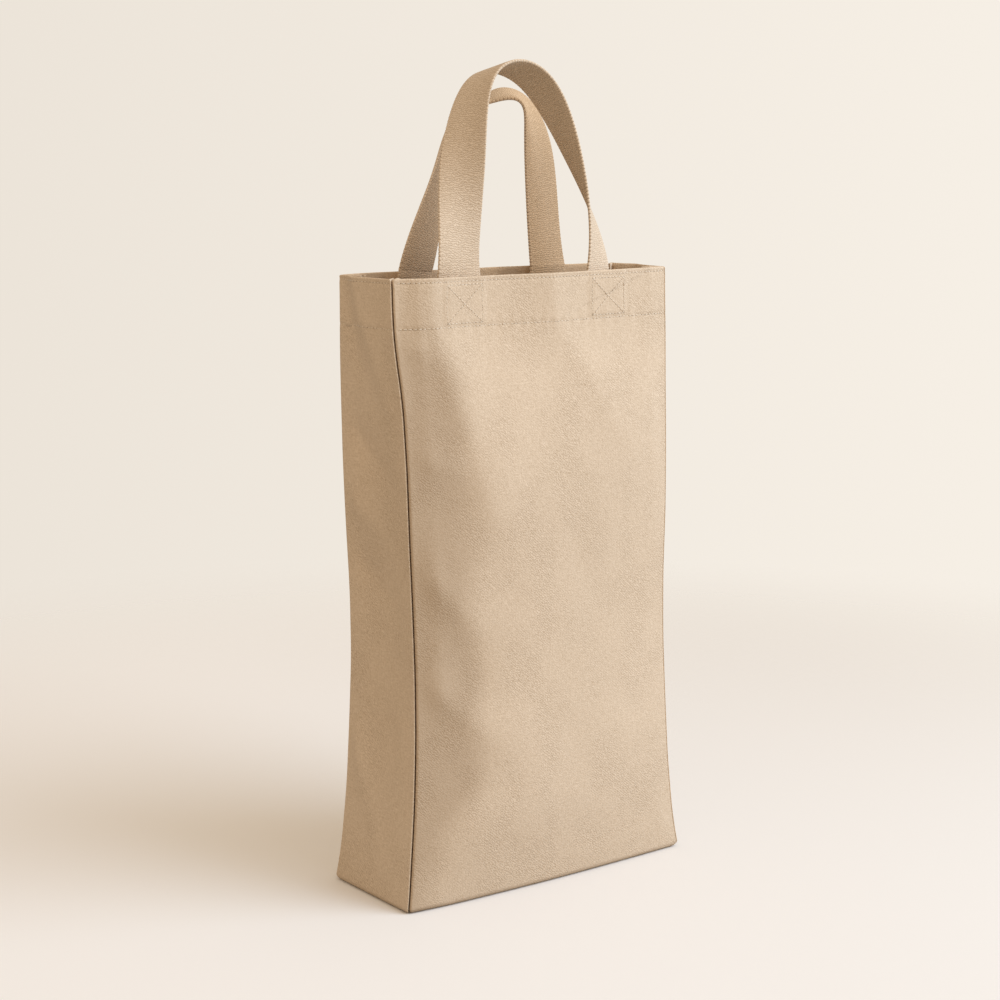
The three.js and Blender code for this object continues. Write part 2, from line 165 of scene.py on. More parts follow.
# Each wall has its turn about the upright axis, its length and the sack's size through it at a height, its
# bow, the radius of its seams' roll, its puff as a height and the reach of the pull of the left and the
# right seam, its folds, the places of the handles' feet on it, the seed of its waves, its columns of points,
# and how far over on the bolt it was cut, in metres.
WALLS = {
    "front": {"turn": 0.0, "length": sack_width, "reach": sack_depth, "bow": panel_bow,
              "roll": PANEL_ROLL_RADIUS, "puff": (10.5, FRONT_PULL, 100), "folds": FRONT_FOLDS,
              "feet": tuple(foot - HEM_DRIFT for foot in FRONT_FEET),
              "seed": 11, "columns": 190, "bolt": 0.0},
    "right": {"turn": np.pi / 2, "length": sack_depth, "reach": sack_width, "bow": gusset_bow,
              "roll": GUSSET_ROLL_RADIUS, "puff": (1.5, [(0, 14)], 14), "folds": RIGHT_FOLDS,
              "feet": (), "seed": 12, "columns": 64, "bolt": 0.0},
    "back": {"turn": np.pi, "length": sack_width, "reach": sack_depth, "bow": panel_bow,
             "roll": PANEL_ROLL_RADIUS, "puff": (8, [(0, 34)], 40), "folds": BACK_FOLDS,
             "feet": tuple(HEM_DRIFT - foot for foot in BACK_FEET),
             "seed": 13, "columns": 190, "bolt": 0.5},
    "left": {"turn": -np.pi / 2, "length": sack_depth, "reach": sack_width, "bow": gusset_bow,
             "roll": GUSSET_ROLL_RADIUS, "puff": (1.5, [(0, 14)], 14), "folds": LEFT_FOLDS,
             "feet": (), "seed": 14, "columns": 64, "bolt": 0.0},
}
FOLD_CREST = 5 * mm
WAVE_COUNT = 18
WAVE_STEEPNESS = 0.001
SEAM_CALM = 16 * mm
PUCKER_PITCH = 8.5 * mm
PUCKER_DRIFT = 21 * mm
PUCKER_HEIGHT = 0.14 * mm
PUCKER_REACH = 5 * mm
ROW_GROOVE_DEPTH = 0.3 * mm
ROW_GROOVE_WIDTH = 1.1 * mm
HEM_STEP = 0.35 * mm
STRAP_PRINT = 0.5 * mm
BOX_GROOVE_DEPTH = 0.22 * mm
BOX_GROOVE_WIDTH = 0.9 * mm


def soft_fold(along, z, fold):
    """Falls off from the fold's line as a power of e, with its own reach on each side and a small round
    crest. The fold dies out from the start of its line to the end."""
    line, reaches, height = fold
    points = np.array(line) * mm
    runs = np.diff(points, axis=0)
    lengths = np.hypot(runs[:, 0], runs[:, 1])
    starts = np.concatenate([[0], np.cumsum(lengths)[:-1]])
    nearest, on_left, gone = np.inf + 0 * along, 0 * along, 0 * along
    for (x0, z0), (run_x, run_z), length, before in zip(points, runs, lengths, starts):
        share = np.clip(((along - x0) * run_x + (z - z0) * run_z) / length ** 2, 0, 1)
        off_x = along - x0 - share * run_x
        off_z = z - z0 - share * run_z
        away = np.sqrt(off_x ** 2 + off_z ** 2 + FOLD_CREST ** 2)
        nearer = away < nearest
        nearest = np.where(nearer, away, nearest)
        on_left = np.where(nearer, (run_x * off_z - run_z * off_x) / (length * away), on_left)
        gone = np.where(nearer, (before + share * length) / lengths.sum(), gone)
    reach = (reaches[1] + (reaches[0] - reaches[1]) * smoothstep(on_left, -1, 1)) * mm
    return height * mm * (1 - 0.8 * gone) * np.exp(-(nearest - FOLD_CREST) / reach)


def cloth_waves(along, z, seed):
    """Sum of sine waves of many lengths and directions, each as high as a small share of its length."""
    draw = np.random.default_rng(seed)
    lengths = draw.uniform(22, 95, WAVE_COUNT) * mm
    turns = draw.uniform(0, np.pi, WAVE_COUNT)
    phases = draw.uniform(0, 2 * np.pi, WAVE_COUNT)
    total = 0 * along
    for length, turn, phase in zip(lengths, turns, phases):
        ahead = along * np.cos(turn) + z * np.sin(turn)
        total = total + WAVE_STEEPNESS * length * np.sin(2 * np.pi * ahead / length + phase)
    return total


def box_distance(along, z, foot):
    """Distance to the nearest side of the sewn box over a handle's foot."""
    half = WEBBING_WIDTH / 2 - BOX_MARGIN
    middle = (BOX_LOW + BOX_HIGH) / 2
    tall = (BOX_HIGH - BOX_LOW) / 2
    off_x = np.abs(along - foot) - half
    off_z = np.abs(z - middle) - tall
    outside = np.hypot(np.maximum(off_x, 0), np.maximum(off_z, 0))
    return np.abs(outside + np.minimum(np.maximum(off_x, off_z), 0))


def swell(distance, reach):
    """Climbs from 0 at a seam to 1 in an even slope that rounds off where its reach ends."""
    return 1 - np.logaddexp(0, 6 * (1 - distance / reach)) / np.logaddexp(0, 6)


def wall_relief(wall, along, z):
    """How far the cloth stands proud of the straight line between its two corners: its bow, the pull of its
    seams, soft folds and waves, puckers and grooves at the rows of stitches, and the print of the straps."""
    length = wall["length"](z)
    edge = np.maximum(length / 2 - np.abs(along), 0)
    calm = smoothstep(edge, 0, SEAM_CALM)
    relief = wall["bow"](z) * np.cos(np.pi * along / length)
    slack = smoothstep(z, -20 * mm, 60 * mm) * (1 - 0.9 * smoothstep(z, 225 * mm, HEM_LINE + 22 * mm))
    height, left_pull, right_pull = wall["puff"]
    pull_heights, pull_reaches = np.array(left_pull).T * mm
    from_left = swell(np.maximum(length / 2 + along, 0), np.interp(z, pull_heights, pull_reaches))
    from_right = swell(np.maximum(length / 2 - along, 0), right_pull * mm)
    relief = relief + height * mm * slack * from_left * from_right
    loose = cloth_waves(along, z, wall["seed"])
    for fold in wall["folds"]:
        loose = loose + soft_fold(along, z, fold)
    relief = relief + loose * calm * smoothstep(z, 0, 18 * mm)
    pucker = np.sin(2 * np.pi * along / PUCKER_PITCH + 3 * np.sin(along / PUCKER_DRIFT))
    relief = relief + PUCKER_HEIGHT * pucker * np.exp(-np.abs(z - LOWER_ROW) / PUCKER_REACH) * calm
    for row in (LOWER_ROW, TOP_ROW):
        relief = relief - ROW_GROOVE_DEPTH * np.exp(-((z - row) / ROW_GROOVE_WIDTH) ** 2)
    relief = relief + HEM_STEP * smoothstep(z, HEM_LINE - 1.5 * mm, HEM_LINE + 2.5 * mm) * calm
    tab_end = HEM_LINE + TAB_LIFT
    for foot in wall["feet"]:
        under = smoothstep(WEBBING_WIDTH / 2 - np.abs(along - foot), -1.2 * mm, 1.6 * mm)
        relief = relief + STRAP_PRINT * under * smoothstep(z, tab_end - 2 * mm, tab_end + 2 * mm)
        sewn = np.exp(-(box_distance(along, z, foot) / BOX_GROOVE_WIDTH) ** 2)
        relief = relief - BOX_GROOVE_DEPTH * sewn
    return relief


def sack_point(wall, along, out, z):
    """Turns a place along and out of a wall into the bag's own frame, with the slack sack leaning over."""
    cos, sin = np.cos(wall["turn"]), np.sin(wall["turn"])
    drift = sack_cut(z, 3)
    return np.stack([along * cos + out * sin + drift, along * sin - out * cos, z], axis=-1)


def outer_face(wall, along, z):
    """Point on the outer face of a wall, at a distance along it and a height."""
    return sack_point(wall, along, wall["reach"](z) / 2 + wall_relief(wall, along, z), z)


def panel_rows():
    """Profile of a panel from its base seam to the raw edge of its hem: height, how far the whole sack is
    drawn in there, and how far the layer lies behind the outer one. It runs down the allowance, round the
    base seam, out round the foot's roll, up the wall, over the fold and down behind the hem."""
    seam = np.linspace(0, np.pi / 2, 5)
    roll = np.linspace(0, np.pi / 2, 12)[1:]
    fold = np.linspace(0, np.pi, 10)[1:]
    up = np.concatenate([
        np.arange(FOOT_ROLL_RADIUS + 1.5 * mm, HEM_LINE - 12 * mm, 2.5 * mm),
        np.arange(HEM_LINE - 11 * mm, FOLD_LINE - 0.2 * mm, 0.85 * mm),
    ])
    behind = np.linspace(FOLD_LINE - 2 * mm, HEM_LINE, 12)
    allowance = np.linspace(FOOT_ALLOWANCE, FOOT_SEAM_RADIUS, 4)[:-1]
    z = np.concatenate([
        allowance, FOOT_SEAM_RADIUS * (1 - np.sin(seam)), FOOT_ROLL_RADIUS * (1 - np.cos(roll)), up,
        FOLD_LINE + HEM_FOLD_RADIUS * np.sin(fold), behind,
    ])
    drawn = np.concatenate([
        0 * allowance + FOOT_ROLL_RADIUS + FOOT_SEAM_RADIUS,
        FOOT_ROLL_RADIUS + FOOT_SEAM_RADIUS * np.cos(seam),
        FOOT_ROLL_RADIUS * (1 - np.sin(roll)), 0 * up, 0 * fold, 0 * behind,
    ])
    layer = np.concatenate([
        0 * allowance, 0 * seam, 0 * roll, 0 * up, HEM_FOLD_RADIUS * (1 - np.cos(fold)),
        0 * behind + HEM_THICKNESS,
    ])
    return z, drawn, layer


def panel_grid(wall):
    """Outer face of a whole panel as a grid of points, with its place on the flat cloth. Each row goes from
    the tip of one seam allowance, diagonally out to the corner, round the seam's roll, along the wall and
    back in at the other corner. A layer that lies further in has its corner moved along the mitre."""
    z, drawn, layer = panel_rows()
    mitre = 1 + np.sqrt(2)
    radius = wall["roll"]
    tangent = radius * mitre
    half = wall["length"](z) / 2 - drawn - mitre * layer - SEAM_GAP
    reach = wall["reach"](z) / 2 - drawn - layer
    allowance = SEAM_ALLOWANCE * smoothstep(z, 3 * mm, 26 * mm) + 0.4 * mm
    share = np.linspace(-1, 1, wall["columns"])
    along = share[None, :] * (half - tangent)[:, None]
    scaled = along / half[:, None] * wall["length"](z)[:, None] / 2
    relief = wall_relief(wall, scaled, z[:, None] + 0 * scaled)
    middle_out = reach[:, None] + relief
    fin = np.array([1.0, 0.66, 0.33, 0.0])
    fin_in = (tangent + radius) / 2 + allowance[:, None] * fin / np.sqrt(2)
    turn = np.linspace(0.75 * np.pi, 1.5 * np.pi, 10)[1:-1]
    arc_along = tangent + radius * np.cos(turn)
    arc_in = radius * (1 + np.sin(turn))
    settle = np.linspace(0, 1, turn.size + 2)[1:-1]
    ones = np.ones_like(z)[:, None]
    end_along = np.concatenate([fin_in, ones * arc_along], axis=1)
    end_in = np.concatenate([fin_in, ones * arc_in], axis=1)
    lift = np.concatenate([0 * fin, settle])
    first = -half[:, None] + end_along
    first_out = reach[:, None] - end_in + lift * relief[:, :1]
    last_out = reach[:, None] - end_in + lift * relief[:, -1:]
    along = np.concatenate([first, along, -first[:, ::-1]], axis=1)
    out = np.concatenate([first_out, middle_out, last_out[:, ::-1]], axis=1)
    points = sack_point(wall, along, out, z[:, None] + 0 * along)
    down = np.concatenate([[0], np.cumsum(np.hypot(np.diff(z), np.diff(layer + drawn)))])
    nominal = wall["length"](np.array([HEM_LINE]))[0]
    flat_u = along / (half[:, None] * 2) * nominal + wall["bolt"]
    return points, np.stack([flat_u, down[:, None] + 0 * flat_u], axis=-1)


def surface_normals(points):
    """Unit normals of a grid of points, from the cross product of its column and row directions."""
    normal = np.cross(np.gradient(points, axis=1), np.gradient(points, axis=0))
    return normal / np.linalg.norm(normal, axis=-1, keepdims=True)


def thick_cloth(points, thickness):
    """The two faces of a cloth: the grid itself and the same grid moved in along its normals."""
    return np.stack([points, points - thickness * surface_normals(points)])


def grid_faces(rows, columns):
    """Four-sided faces of a grid of points numbered row by row, turned to the side of columns times rows."""
    number = np.arange(rows * columns).reshape(rows, columns)
    corners = [number[:-1, :-1], number[:-1, 1:], number[1:, 1:], number[1:, :-1]]
    return np.stack(corners, axis=-1).reshape(-1, 4)


def rim_faces(rows, columns):
    """Faces that join the outer and inner grids of a cloth all round their edge, in one strip."""
    number = np.arange(rows * columns).reshape(rows, columns)
    edge = np.concatenate([number[0, :-1], number[:-1, -1], number[-1, :0:-1], number[:0:-1, 0]])
    after = np.roll(edge, -1)
    inner = rows * columns
    return np.stack([edge, edge + inner, after + inner, after], axis=-1)


def make_piece(name, vertices, face_groups, flat, material):
    """Puts a mesh with smooth faces, its flat-cloth map and its material into the scene. Each group of faces
    is an array with one row for each face."""
    mesh = bpy.data.meshes.new(name)
    faces = sum((group.tolist() for group in face_groups), [])
    mesh.from_pydata(vertices.reshape(-1, 3).tolist(), [], faces)
    mesh.polygons.foreach_set("use_smooth", np.ones(len(mesh.polygons), dtype=bool))
    corner = np.empty(len(mesh.loops), dtype=np.int32)
    mesh.loops.foreach_get("vertex_index", corner)
    layer = mesh.uv_layers.new(name="flat_cloth")
    layer.data.foreach_set("uv", flat.reshape(-1, 2)[corner].astype(np.float32).ravel())
    mesh.materials.append(material)
    mesh.update()
    piece = bpy.data.objects.new(name, mesh)
    scene.collection.objects.link(piece)
    return piece


def sew_cloth(name, points, flat, material):
    """Closes a grid into a cloth of even thickness and makes it a piece."""
    rows, columns = points.shape[:2]
    front = grid_faces(rows, columns)
    groups = [front, front[:, ::-1] + rows * columns, rim_faces(rows, columns)]
    return make_piece(name, thick_cloth(points, CLOTH), groups, np.stack([flat, flat]), material)


class Shade:
    """One number that varies over a surface. Sums and products of shades add Math nodes."""

    def __init__(self, finish, socket):
        self.finish = finish
        self.socket = socket

    def math(self, operation, first, second):
        """Result of one Math node on two numbers or shades."""
        return self.finish.node("ShaderNodeMath", {"operation": operation}, {0: first, 1: second})

    def __add__(self, other):
        return self.math("ADD", self, other)

    def __radd__(self, other):
        return self.math("ADD", other, self)

    def __sub__(self, other):
        return self.math("SUBTRACT", self, other)

    def __rsub__(self, other):
        return self.math("SUBTRACT", other, self)

    def __mul__(self, other):
        return self.math("MULTIPLY", self, other)

    def __rmul__(self, other):
        return self.math("MULTIPLY", other, self)

    def __pow__(self, other):
        return self.math("POWER", self, other)

    def sine(self):
        """Sine of the shade, as radians."""
        return self.math("SINE", self, 0.0)

    def size(self):
        """The shade without its sign."""
        return self.math("ABSOLUTE", self, 0.0)

    def between(self, low, high):
        """Smooth rise from 0 to 1 as the shade goes from low to high."""
        settings = {"interpolation_type": "SMOOTHSTEP"}
        return self.finish.node("ShaderNodeMapRange", settings, {0: self, 1: low, 2: high})


class Nodes:
    """A tree of nodes, to which nodes are added one at a time."""

    def __init__(self, tree):
        self.tree = tree

    def node(self, kind, settings, sockets, output=0):
        """Adds a node of a kind, makes its settings, fills its sockets and gives one of its outputs."""
        made = self.tree.nodes.new(kind)
        for key, value in settings.items():
            setattr(made, key, value)
        for key, value in sockets.items():
            self.feed(made.inputs[key], value)
        return Shade(self, made.outputs[output])

    def feed(self, socket, value):
        """Links a shade to a socket, or sets a plain value on it."""
        if isinstance(value, Shade):
            self.tree.links.new(value.socket, socket)
        else:
            socket.default_value = value

    def blend(self, share, low, high):
        """Colour from low to high by a share."""
        sockets = {0: share, 6: low, 7: high}
        return self.node("ShaderNodeMix", {"data_type": "RGBA", "clamp_factor": True}, sockets, 2)


class Finish(Nodes):
    """A material and its nodes, with the principled shader at the end of them."""

    def __init__(self, name):
        self.material = bpy.data.materials.new(name)
        self.material.use_nodes = True
        super().__init__(self.material.node_tree)
        self.shader = self.tree.nodes["Principled BSDF"]

    def surface(self, **sockets):
        """Sets the shader's own sockets, named with an underscore for each space."""
        for key, value in sockets.items():
            self.feed(self.shader.inputs[key.replace("_", " ")], value)

    def flat_cloth(self):
        """Place on the flat cloth, in metres across and along it."""
        across_along = self.node("ShaderNodeUVMap", {"uv_map": "flat_cloth"}, {})
        return (across_along,) + tuple(
            self.node("ShaderNodeSeparateXYZ", {}, {0: across_along}, axis) for axis in (0, 1))

    def grain(self, place, stretch, detail):
        """Cloud noise from 0 to 1 with its own number of lumps a metre on each axis."""
        scaled = self.node("ShaderNodeVectorMath", {"operation": "MULTIPLY"}, {0: place, 1: stretch})
        return self.node("ShaderNodeTexNoise", {"noise_dimensions": "2D"},
                         {"Vector": scaled, "Scale": 1.0, "Detail": detail, "Roughness": 0.55})

    def relief(self, height, depth):
        """Normal of a surface whose height goes up and down by a depth in metres."""
        return self.node("ShaderNodeBump", {}, {"Strength": 1.0, "Distance": depth, "Height": height})


def linear(red, green, blue):
    """Colour as seen on a screen, from 0 to 255, as the light it stands for."""
    seen = np.array([red, green, blue]) / 255
    light = np.where(seen < 0.04045, seen / 12.92, ((seen + 0.055) / 1.055) ** 2.4)
    return (*light.tolist(), 1.0)


CLOTH_PALE = linear(233, 213, 190)
CLOTH_DEEP = linear(205, 184, 159)
# Colour of painted shade, for the hollows of the weave and the band down the left of the front panel
CLOTH_PAINTED_SHADE = linear(173, 149, 122)
WALE_PITCH = 1.35 * mm
WALE_SLOPE = 0.8


def twill_finish():
    """Cotton twill: short wriggling wales on a slant, uneven yarns both ways, and a broad soft change of tone.
    The hollows of the wales are darkened as painted shade, and down the left of the front panel a band of
    painted shade with a wavy edge stands for the cloth turning from the light towards its seam."""
    finish = Finish("beige_twill")
    place, across, along = finish.flat_cloth()
    warp = finish.grain(place, (1050, 240, 0), 2.0)
    weft = finish.grain(place, (240, 1050, 0), 2.0)
    fleck = finish.grain(place, (820, 820, 0), 3.0)
    cloud = finish.grain(place, (470, 490, 0), 1.5)
    patch = finish.grain(place, (34, 24, 0), 3.0)
    broad = finish.grain(place, (9, 7, 0), 2.0)
    phase = (across * WALE_SLOPE + along) * (2 * np.pi / (WALE_PITCH * np.hypot(WALE_SLOPE, 1)))
    wale = (phase + cloud * 13.0 + fleck * 2.0).sine()
    weave = wale * (0.42 + 0.58 * patch.between(0.36, 0.66))
    tone = 0.5 + 0.18 * weave + 0.7 * (warp - 0.5) + 0.7 * (weft - 0.5) + 0.9 * (fleck - 0.5)
    tone = tone + 0.35 * (broad - 0.5)
    cloth = finish.blend(tone, CLOTH_DEEP, CLOTH_PALE)
    # Painted shade: a band with a wavy edge down the left of the front panel, where the cloth turns from the
    # light towards its seam, fading out at the top
    lobe = finish.grain(place, (7, 15, 0), 1.0)
    foot = 0.03 * (1 - along.between(16 * mm, 110 * mm))
    painted_edge_shade = (across + 0.05 * (lobe - 0.5) + foot).between(-44 * mm, -72 * mm)
    painted_edge_shade = painted_edge_shade * (360 * mm - along).between(-20 * mm, 40 * mm)
    # Painted shade: the hollows of the wales and the band on the left are blended towards the colour of
    # painted shade
    dark = (0.0 - weave).between(0.3, 1.0) * 0.3 + 0.46 * painted_edge_shade
    finish.surface(
        Base_Color=finish.blend(dark, cloth, CLOTH_PAINTED_SHADE),
        Roughness=0.86 + 0.1 * fleck,
        Normal=finish.relief(0.55 * weave + 0.9 * warp + 0.9 * weft + 1.1 * fleck, 0.09 * mm),
        Specular_IOR_Level=0.15,
        Sheen_Weight=0.05,
        Sheen_Roughness=0.5,
    )
    return finish.material


twill = twill_finish()

# Cut sizes: across the panel with its two allowances, and up it with the base allowance and the hem
PANEL_CUT = (0.226, 0.414)
GUSSET_CUT = (0.098, 0.414)
for side, node, cut in (("front", "front_panel", PANEL_CUT), ("back", "back_panel", PANEL_CUT),
                        ("left", "left_gusset", GUSSET_CUT), ("right", "right_gusset", GUSSET_CUT)):
    piece = sew_cloth(f"{node}_cloth", *panel_grid(WALLS[side]), twill)
    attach(piece, "bag")
    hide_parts(node)

# Base
# A rectangle of the same twill that closes the foot of the sack. It lies flat on the ground, and its edge is
# turned up all round inside the walls, where the base seam is sewn.
BASE_STEPS = 48
BASE_FLAT = 0.9
BASE_FLANGE = 8 * mm
BASE_CLEARANCE = 0.3 * mm
BASE_CORNER = 1.6 * mm
BASE_BOW = 0.8 * PANEL_BOW
BASE_BOLT = 1.0


def base_grid():
    """Square rings about the middle. The inner ones spread flat over the ground, and the outer ones climb the
    edge of the rectangle, first round a small quarter turn and then straight up the flange."""
    drawn = FOOT_ROLL_RADIUS + FOOT_SEAM_RADIUS + CLOTH + BASE_CLEARANCE
    half_width = sack_width(0.0) / 2 - drawn
    half_depth = sack_depth(0.0) / 2 - drawn
    flange = np.linspace(BASE_FLAT, 1, 9)[1:]
    share = np.concatenate([-flange[::-1], np.linspace(-BASE_FLAT, BASE_FLAT, BASE_STEPS), flange])
    across, along = np.meshgrid(share, share)
    ring = np.maximum(np.maximum(np.abs(across), np.abs(along)), 1e-6)
    quarter = BASE_CORNER * np.pi / 2
    climbed = np.clip((ring - BASE_FLAT) / (1 - BASE_FLAT), 0, 1) * (quarter + BASE_FLANGE)
    turn = np.minimum(climbed, quarter) / BASE_CORNER
    drawn_in = BASE_CORNER * (1 - np.sin(turn))
    spread = np.minimum(ring / BASE_FLAT, 1) / ring
    x = (half_width - drawn_in) * spread * across
    y = (half_depth - drawn_in) * spread * along
    y = y * (1 + BASE_BOW / half_depth * (1 - (x / half_width) ** 2))
    z = BASE_CORNER * (1 - np.cos(turn)) + np.maximum(climbed - quarter, 0) + 0.04 * mm
    points = np.stack([x, y, z], axis=-1)
    flat = np.stack([x + np.sign(x) * climbed + BASE_BOLT, y + np.sign(y) * climbed], axis=-1)
    return points[::-1], flat[::-1]


base = sew_cloth("base_cloth", *base_grid(), twill)
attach(base, "bag")
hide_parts("base_panel")

# Handles
# Two lengths of flat cotton webbing, woven with ribs and looped selvedges. Each end lies flat behind the hem
# and is sewn there, and the free loop between them stands up by its own stiffness, turning as it goes.
WEBBING_THICKNESS = 1.9 * mm
TAB_LENGTH = HEM_HEIGHT - TAB_LIFT
LAYER_GAP = 0.25 * mm
RING_STEP = 0.38 * mm
ARCH_WIDTH = 26 * mm
DRAW_IN_SHARE = 0.22
SELVEDGE_LOOP = 2.2 * mm
SELVEDGE_DEPTH = 0.32 * mm
FACE_POINTS = 15
# Each station of a strap's line is its share of the way between the feet, how far it leans in over the bag
# and how high it stands as shares of the rise, and its turn from flat on the panel, in degrees.
HANDLES = {
    "front": {"wall": WALLS["front"], "faces": -1, "feet": FRONT_FEET, "rise": 120 * mm, "stations": [
        (0.00, 0.02, 0.00, 0), (0.00, 0.02, 0.11, -9), (0.04, 0.06, 0.34, 14), (0.12, 0.12, 0.69, 65),
        (0.29, 0.21, 1.02, 98), (0.70, 0.23, 1.00, 115), (0.90, 0.16, 0.61, 81), (1.00, 0.06, 0.18, 40),
        (1.00, 0.06, 0.00, 26)]},
    "back": {"wall": WALLS["back"], "faces": 1, "feet": BACK_FEET, "rise": 105 * mm, "stations": [
        (0.00, 0.04, 0.00, -15), (0.02, 0.08, 0.16, -17), (0.225, 0.00, 0.49, -31), (0.405, -0.14, 0.83, -34),
        (0.53, -0.03, 0.95, -81), (0.745, 0.09, 1.05, -115), (0.935, 0.04, 0.69, -185),
        (1.00, -0.03, 0.21, -164), (1.00, 0.02, 0.00, -173)]},
}


def smooth_line(stations, place):
    """Cubic B-spline that starts at the first station and ends at the last. Each station's weight is built up
    from steps between evenly spaced knots, made one degree smoother three times over."""
    count = len(stations)
    knots = np.concatenate([np.zeros(3), np.linspace(0, 1, count - 2), np.ones(3)])
    place = np.minimum(place, 1 - 1e-9)[:, None]
    weight = ((knots[:-1] <= place) & (place < knots[1:])).astype(float)
    for degree in (1, 2, 3):
        rising = knots[degree:-1] - knots[:-degree - 1]
        falling = knots[degree + 1:] - knots[1:-degree]
        rise = (place - knots[:-degree - 1]) / np.where(rising > 0, rising, 1)
        fall = (knots[degree + 1:] - place) / np.where(falling > 0, falling, 1)
        weight = rise * weight[:, :-1] + fall * weight[:, 1:]
    return weight @ np.array(stations, dtype=float)


def strap_line(handle):
    """Places along a strap, its middle line, its turn and its width: a tab straight up behind the hem, the
    smooth line through the stations, and the other tab down again. In the tabs the turn settles to flat."""
    across, lean, up, turn = smooth_line(handle["stations"], np.linspace(0, 1, 4001)).T
    left, right = handle["feet"]
    behind = HEM_THICKNESS + LAYER_GAP + WEBBING_THICKNESS / 2

    def foot_depth(foot):
        """Depth of the middle of a flat tab behind the hem."""
        along = np.array(-handle["faces"] * (foot - HEM_DRIFT))
        level = np.array(HEIGHT - 8 * mm)
        return handle["wall"]["reach"](HEIGHT) / 2 + wall_relief(handle["wall"], along, level) - behind

    x = left + (right - left) * across
    depth = foot_depth(left) + (foot_depth(right) - foot_depth(left)) * np.clip(across, 0, 1)
    y = handle["faces"] * (depth - lean * handle["rise"])
    z = HEIGHT + up * handle["rise"]
    line = np.stack([x, y, z], axis=-1)
    length = np.concatenate([[0], np.cumsum(np.linalg.norm(np.diff(line, axis=0), axis=1))])
    total = length[-1]
    place = np.linspace(-TAB_LENGTH, total + TAB_LENGTH, int((total + 2 * TAB_LENGTH) / RING_STEP))
    below = np.maximum(np.maximum(-place, place - total), 0)
    settle = 1 - smoothstep(below, 0, TAB_LENGTH * 0.8)
    turn = np.radians(np.interp(place, length, turn))
    flat = np.round(turn / np.pi) * np.pi
    turn = flat + (turn - flat) * settle
    x = np.interp(place, length, x)
    y = np.interp(place, length, y)
    flat_y = handle["faces"] * np.where(place < total / 2, depth[0], depth[-1])
    y = np.where(below > 0, flat_y + (y - flat_y) * settle, y)
    z = np.interp(place, length, z) - below
    share = np.interp(place, length, np.linspace(0, 1, length.size))
    drawn = smoothstep(np.minimum(share, 1 - share), 0, DRAW_IN_SHARE)
    width = WEBBING_WIDTH + (ARCH_WIDTH - WEBBING_WIDTH) * drawn
    return place, np.stack([x, y, z], axis=-1), turn, width


def webbing_grid(handle):
    """A flat section with round edges carried along the strap's line. The side direction is the line's inward
    normal turned by the strap's turn, and each edge swells in loops, as half sines along the strap."""
    place, centre, turn, width = strap_line(handle)
    tangent = np.gradient(centre, axis=0)
    tangent = tangent / np.linalg.norm(tangent, axis=1, keepdims=True)
    inward = np.cross(np.array([0.0, 1.0, 0.0]), tangent)
    inward = inward / np.linalg.norm(inward, axis=1, keepdims=True)
    near = np.cross(inward, tangent)
    side = np.cos(turn)[:, None] * inward + np.sin(turn)[:, None] * near
    face = np.cross(tangent, side)
    half = WEBBING_WIDTH / 2
    thick = WEBBING_THICKNESS / 2
    cap = np.linspace(-np.pi / 2, np.pi / 2, 7)
    flat = np.linspace(-1, 1, FACE_POINTS)[1:-1] * (half - thick)
    round_edge = half - thick + thick * np.cos(cap)
    across = np.concatenate([round_edge, -flat, -round_edge, flat])
    out = np.concatenate([thick * np.sin(cap), 0 * flat + thick, -thick * np.sin(cap), 0 * flat - thick])
    edge = smoothstep(np.abs(across), half - 1.6 * mm, half)
    crown = 1 - 0.12 * smoothstep(np.abs(across), 0.6 * half, half - thick)
    loops = SELVEDGE_DEPTH * (np.abs(np.sin(np.pi * place / SELVEDGE_LOOP)) - 0.5)
    wide = across[None, :] * width[:, None] / WEBBING_WIDTH + np.sign(across) * edge * loops[:, None]
    points = centre[:, None] + side[:, None] * wide[..., None] + face[:, None] * (out * crown)[None, :, None]
    flat_map = np.stack([across[None, :] + 0 * wide, place[:, None] + 0 * wide], axis=-1)
    return points, flat_map


def close_tube(points, flat):
    """Vertices, faces and map of a closed tube through rings of points, with a middle point on each end."""
    rings, size = points.shape[:2]
    number = np.arange(rings * size).reshape(rings, size)
    after = np.roll(number, -1, axis=1)
    walls = np.stack([number[:-1], after[:-1], after[1:], number[1:]], axis=-1).reshape(-1, 4)
    vertices = np.concatenate([points.reshape(-1, 3), points[[0, -1]].mean(axis=1)])
    flat = np.concatenate([flat.reshape(-1, 2), flat[[0, -1]].mean(axis=1)])
    low, high = rings * size, rings * size + 1
    starts = np.stack([after[0], number[0], 0 * number[0] + low], axis=-1)
    ends = np.stack([number[-1], after[-1], 0 * number[-1] + high], axis=-1)
    return vertices, [walls, starts, ends], flat


RIB_PITCH = 1.3 * mm
# Colour of painted shade in the gaps between the selvedge's loops
SELVEDGE_GAP_SHADE = linear(128, 98, 66)


